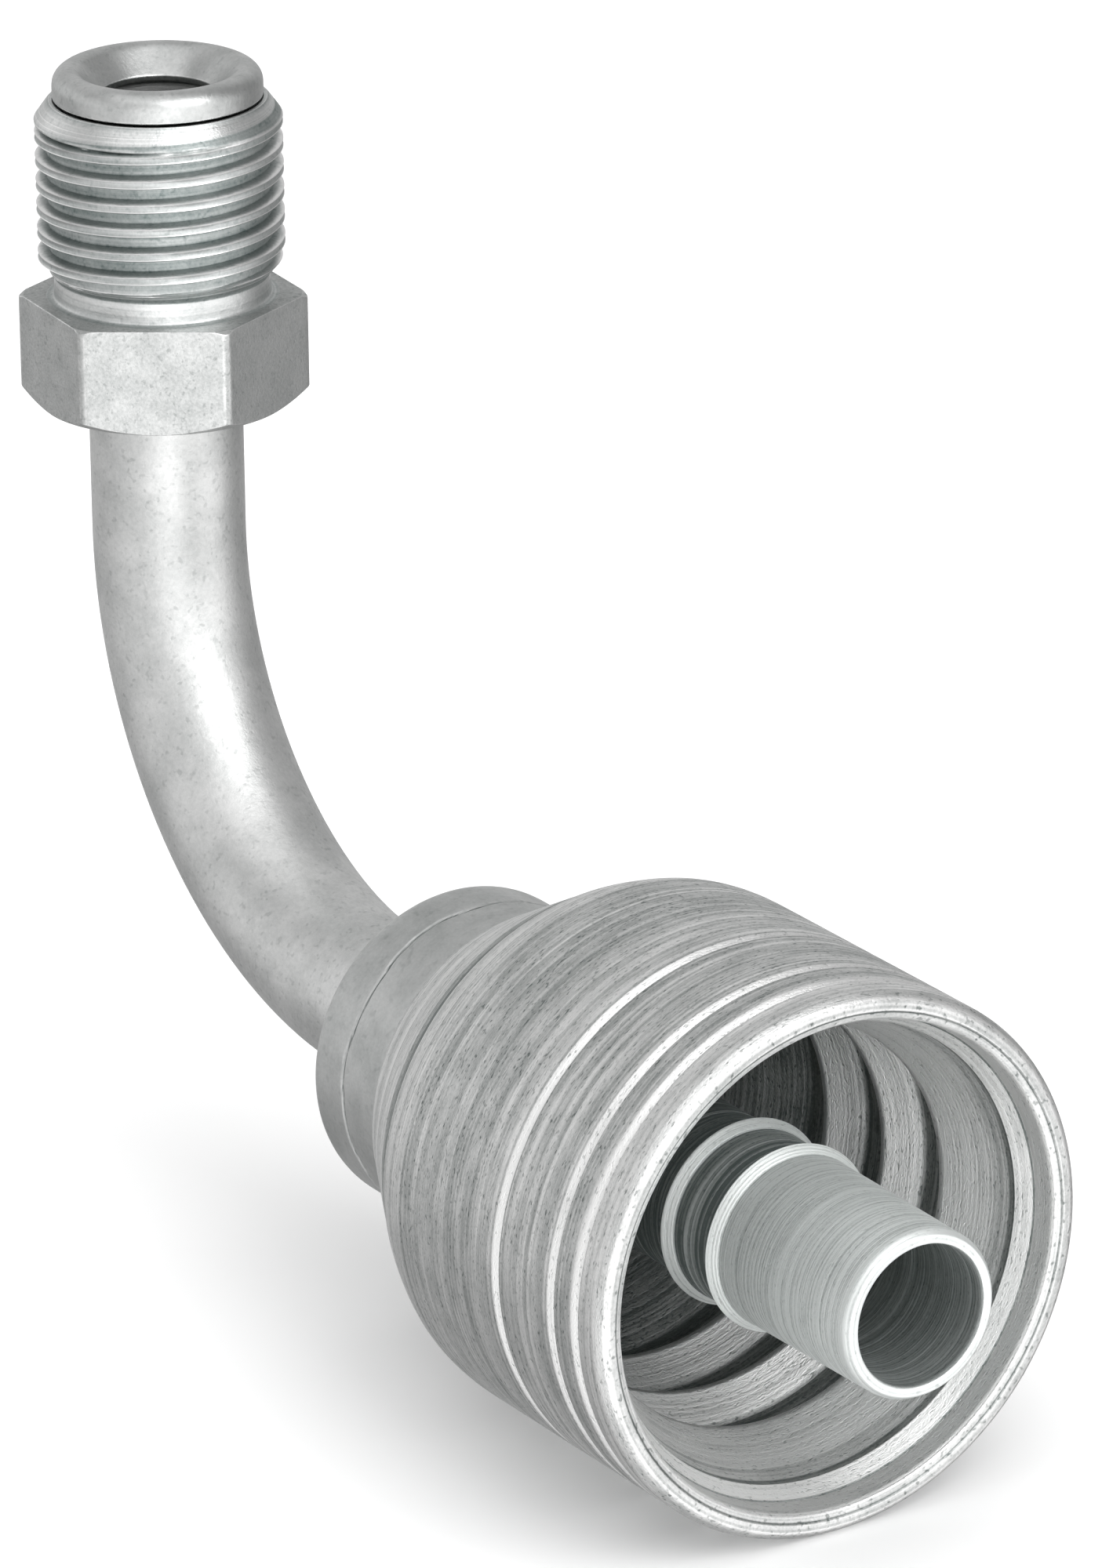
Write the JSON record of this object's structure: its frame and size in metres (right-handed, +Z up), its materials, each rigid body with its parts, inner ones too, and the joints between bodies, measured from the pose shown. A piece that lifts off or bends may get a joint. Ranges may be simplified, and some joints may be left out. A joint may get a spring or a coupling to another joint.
{
  "type": "hydraulic hose end fitting",
  "caption": "Crimp-on hydraulic hose end: ferrule and barbed stem, tube bent through a right angle, and a male inverted-flare nut that swivels on the tube.",
  "frame": {"origin": "centre of the ferrule's mouth, on the hose axis", "axes": "+Z up along the nut's axis, -Y out of the mouth towards the hose; the tube's bend lies in the plane X = 0"},
  "size_m": [0.0276, 0.0748, 0.0584],
  "materials": {
    "ferrule_zinc": "turned, zinc plated, fine rings",
    "stem_zinc": "turned, zinc plated, glossy",
    "braze_zinc": "braze metal under zinc plate, satin",
    "tube_zinc": "drawn tube, zinc plated, satin and mottled",
    "nut_zinc": "rolled thread, zinc plated, bright"
  },
  "bodies": {
    "fitting": {"ferrule": "ferrule_zinc", "hose_stem": "stem_zinc", "braze_fillet": "braze_zinc", "bent_tube": "tube_zinc"},
    "nut": {"swivel_nut": "nut_zinc"}
  },
  "joints": [
    {"name": "nut_spin", "type": "hinge", "parent": "fitting", "child": "nut", "pos_m": [0, 0.06087, 0.03], "axis": [0, 0, 1], "continuous": true}
  ]
}
